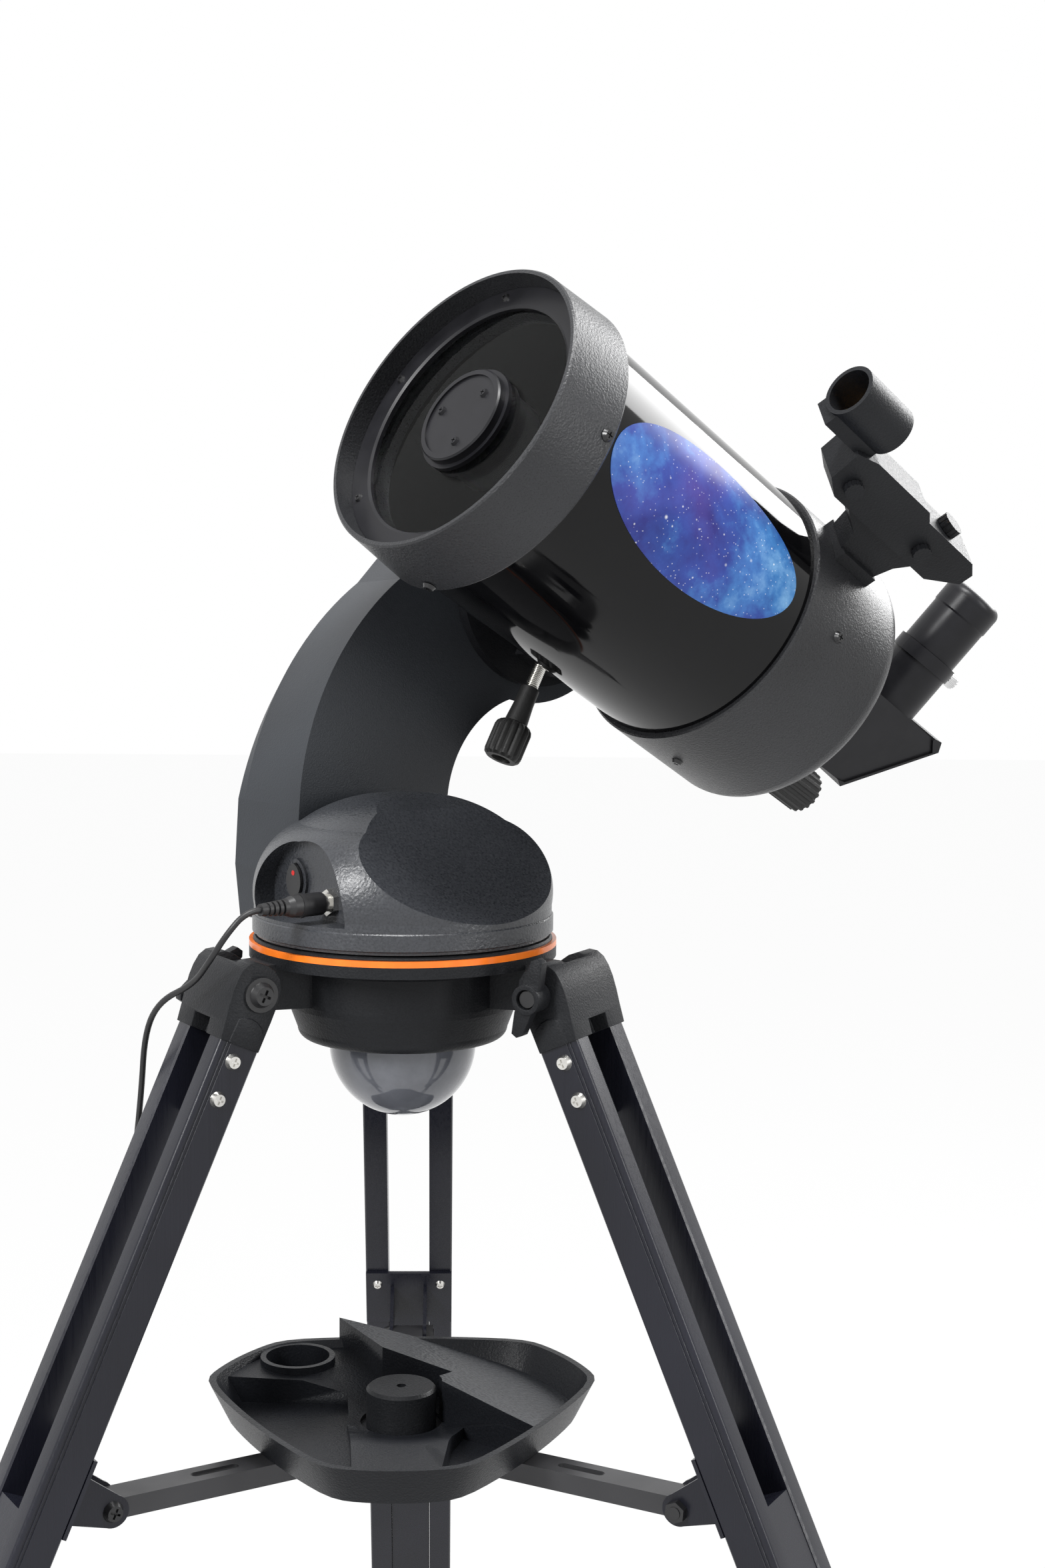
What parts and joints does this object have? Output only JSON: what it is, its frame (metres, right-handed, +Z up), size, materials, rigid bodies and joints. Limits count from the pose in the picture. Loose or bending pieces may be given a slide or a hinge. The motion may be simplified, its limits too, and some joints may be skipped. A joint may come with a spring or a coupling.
{
  "type": "schmidt cassegrain telescope",
  "caption": "Short catadioptric telescope with diagonal, eyepiece and red-dot style finder on a single-arm motorised alt-azimuth mount and a folding tripod with a tray.",
  "frame": {"origin": "on the floor, under the middle of the assembly's box", "axes": "+Z up, the view of the picture looks roughly along +Y, +X to its right"},
  "size_m": [0.7048, 0.6105, 0.9866],
  "materials": {
    "textured_black": "fine textured black paint",
    "gloss_black": "high gloss black enamel",
    "cast_black": "fine textured satin black paint",
    "base_plastic": "grained charcoal moulding",
    "arm_plastic": "fine grained charcoal moulding",
    "anodised": "satin black anodised",
    "orange": "glossy orange",
    "rubber": "moulded black rubber",
    "steel": "bright zinc plated",
    "chrome": "polished",
    "black_steel": "black oxide",
    "clear_glass": "coated clear glass",
    "mirror": "aluminised glass",
    "smoked": "glossy smoked plastic",
    "amber_glass": "amber coated lens",
    "cable": "satin black cable jacket",
    "switch_black": "satin black with a red dot"
  },
  "bodies": {
    "root": {"tripod_head": "textured_black", "orange_ring": "orange", "leg_brackets": "textured_black", "leg_rails": "anodised", "rail_screws": "steel", "pivot_bolts": "black_steel", "leg_end_clamps": "textured_black", "brace_brackets": "anodised", "brace_arms": "anodised", "brace_hub": "textured_black", "cord": "cable", "cord_coil": "cable", "cord_plug": "cable"},
    "mounting_knob": {"mounting_knob": "smoked"},
    "tray": {"tray": "textured_black"},
    "tray_knob": {"tray_knob": "textured_black"},
    "azimuth_base": {"base_dome": "base_plastic", "base_band": "base_plastic", "fork_arm": "arm_plastic", "arm_side_cover": "arm_plastic", "dc_jack": "steel", "power_plug": "cable"},
    "rocker_switch": {"rocker_switch": "switch_black"},
    "optical_tube": {"altitude_hub": "textured_black", "dovetail_bar": "anodised", "tube_shell": "gloss_black", "front_cell": "cast_black", "retaining_ring": "anodised", "tube_screws": "black_steel", "corrector_plate": "clear_glass", "secondary_holder": "anodised", "rear_cell": "cast_black", "baffle_tube": "black_steel", "visual_back": "anodised", "finder_bracket": "textured_black", "finder_body": "textured_black", "finder_lens": "amber_glass"},
    "clamp_jaw": {"clamp_jaw": "textured_black"},
    "clamp_knob": {"clamp_knob": "rubber"},
    "primary_mirror": {"primary_mirror": "mirror"},
    "focus_knob": {"focus_knob": "rubber"},
    "diagonal": {"diagonal_body": "anodised"},
    "eyepiece_screw": {"eyepiece_screw": "chrome"},
    "eyepiece": {"eyepiece": "anodised"},
    "finder_switch": {"finder_switch": "textured_black"},
    "finder_adjuster_1": {"finder_adjuster_1": "textured_black"},
    "finder_adjuster_2": {"finder_adjuster_2": "textured_black"},
    "wing_knob_1": {"wing_knob_1": "textured_black"},
    "leg_1_extension": {"inner_leg_1": "anodised", "leg_foot_1": "rubber"},
    "leg_lock_1": {"leg_lock_1": "textured_black"},
    "wing_knob_2": {"wing_knob_2": "textured_black"},
    "leg_2_extension": {"inner_leg_2": "anodised", "leg_foot_2": "rubber"},
    "leg_lock_2": {"leg_lock_2": "textured_black"},
    "wing_knob_3": {"wing_knob_3": "textured_black"},
    "leg_3_extension": {"inner_leg_3": "anodised", "leg_foot_3": "rubber"},
    "leg_lock_3": {"leg_lock_3": "textured_black"}
  },
  "joints": [
    {"name": "azimuth", "type": "hinge", "parent": "root", "child": "azimuth_base", "pos_m": [0, -0.095, 0.66], "axis": [0, 0, 1], "range_deg": [-180, 180], "deforming": ["cord"]},
    {"name": "altitude", "type": "hinge", "parent": "azimuth_base", "child": "optical_tube", "pos_m": [0.06925, 0.01504, 0.83839], "axis": [-0.6414, 0.7672, 0], "range_deg": [-44.4, 45]},
    {"name": "power_rocker", "type": "hinge", "parent": "azimuth_base", "child": "rocker_switch", "pos_m": [-0.05066, -0.12172, 0.6915], "axis": [0.6414, -0.7672, 0], "range_deg": [-5, 5]},
    {"name": "clamp_jaw_travel", "type": "slide", "parent": "optical_tube", "child": "clamp_jaw", "axis": [-0.3766, -0.3149, -0.8712], "range_m": [0, 0.0015]},
    {"name": "clamp_turn", "type": "hinge", "parent": "clamp_jaw", "child": "clamp_knob", "pos_m": [0.06525, -0.00707, 0.77925], "axis": [-0.3766, -0.3149, -0.8712], "range_deg": [-1, 433]},
    {"name": "mirror_travel", "type": "slide", "parent": "optical_tube", "child": "primary_mirror", "axis": [-0.6684, -0.5588, 0.4909], "range_m": [-0.0075, 0.0075]},
    {"name": "focus_turn", "type": "hinge", "parent": "optical_tube", "child": "focus_knob", "pos_m": [0.20386, -0.0158, 0.73396], "axis": [-0.6684, -0.5588, 0.4909], "range_deg": [-3601, 3601]},
    {"name": "diagonal_turn", "type": "hinge", "parent": "optical_tube", "child": "diagonal", "pos_m": [0.21895, 0.00986, 0.77556], "axis": [-0.6684, -0.5588, 0.4909], "range_deg": [-62.6, 117.4]},
    {"name": "eyepiece_screw_turn", "type": "hinge", "parent": "diagonal", "child": "eyepiece_screw", "pos_m": [0.30291, 0.04527, 0.78556], "axis": [0.6684, 0.5588, -0.4909], "continuous": true},
    {"name": "eyepiece_lift", "type": "slide", "parent": "diagonal", "child": "eyepiece", "axis": [0.6296, -0.0735, 0.7735], "range_m": [0, 0.04]},
    {"name": "finder_switch_turn", "type": "hinge", "parent": "optical_tube", "child": "finder_switch", "pos_m": [0.27781, -0.06474, 0.86856], "axis": [0.7335, -0.3853, 0.56], "range_deg": [0, 300]},
    {"name": "finder_adjuster_1_turn", "type": "hinge", "parent": "optical_tube", "child": "finder_adjuster_1", "pos_m": [0.2209, -0.10724, 0.88529], "axis": [0.1238, -0.7343, -0.6674], "continuous": true},
    {"name": "finder_adjuster_2_turn", "type": "hinge", "parent": "optical_tube", "child": "finder_adjuster_2", "pos_m": [0.26234, -0.07259, 0.85485], "axis": [0.1238, -0.7343, -0.6674], "continuous": true},
    {"name": "mounting_knob_turn", "type": "hinge", "parent": "root", "child": "mounting_knob", "pos_m": [0, -0.095, 0.606], "axis": [0, 0, 1], "continuous": true},
    {"name": "tray_lift", "type": "slide", "parent": "root", "child": "tray", "axis": [0, 0, 1], "range_m": [0, 0.06]},
    {"name": "tray_knob_turn", "type": "hinge", "parent": "tray", "child": "tray_knob", "pos_m": [0, -0.095, 0.415], "axis": [0, 0, 1], "continuous": true},
    {"name": "wing_knob_1_turn", "type": "hinge", "parent": "root", "child": "wing_knob_1", "pos_m": [0.032, -0.004, 0.6425], "axis": [1, 0, 0], "continuous": true},
    {"name": "leg_1_slide", "type": "slide", "parent": "root", "child": "leg_1_extension", "axis": [0, 0.4147, -0.91], "range_m": [-0.03, 0.25]},
    {"name": "leg_lock_1_turn", "type": "hinge", "parent": "root", "child": "leg_lock_1", "pos_m": [0, 0.26981, 0.09473], "axis": [0, 0.91, 0.4147], "continuous": true},
    {"name": "wing_knob_2_turn", "type": "hinge", "parent": "root", "child": "wing_knob_2", "pos_m": [-0.09481, -0.11279, 0.6425], "axis": [-0.5, 0.866, 0], "continuous": true},
    {"name": "leg_2_slide", "type": "slide", "parent": "root", "child": "leg_2_extension", "axis": [-0.3591, -0.2073, -0.91], "range_m": [-0.03, 0.25]},
    {"name": "leg_lock_2_turn", "type": "hinge", "parent": "root", "child": "leg_lock_2", "pos_m": [-0.31594, -0.27741, 0.09473], "axis": [-0.788, -0.455, 0.4147], "continuous": true},
    {"name": "wing_knob_3_turn", "type": "hinge", "parent": "root", "child": "wing_knob_3", "pos_m": [0.06281, -0.16821, 0.6425], "axis": [-0.5, -0.866, 0], "continuous": true},
    {"name": "leg_3_slide", "type": "slide", "parent": "root", "child": "leg_3_extension", "axis": [0.3591, -0.2073, -0.91], "range_m": [-0.03, 0.25]},
    {"name": "leg_lock_3_turn", "type": "hinge", "parent": "root", "child": "leg_lock_3", "pos_m": [0.31594, -0.27741, 0.09473], "axis": [0.788, -0.455, 0.4147], "continuous": true}
  ],
  "couplings": [
    {"joint": "clamp_turn", "follows": "clamp_jaw_travel", "rad_per_m": 5026.5},
    {"joint": "focus_turn", "follows": "mirror_travel", "rad_per_m": 8377.6}
  ]
}
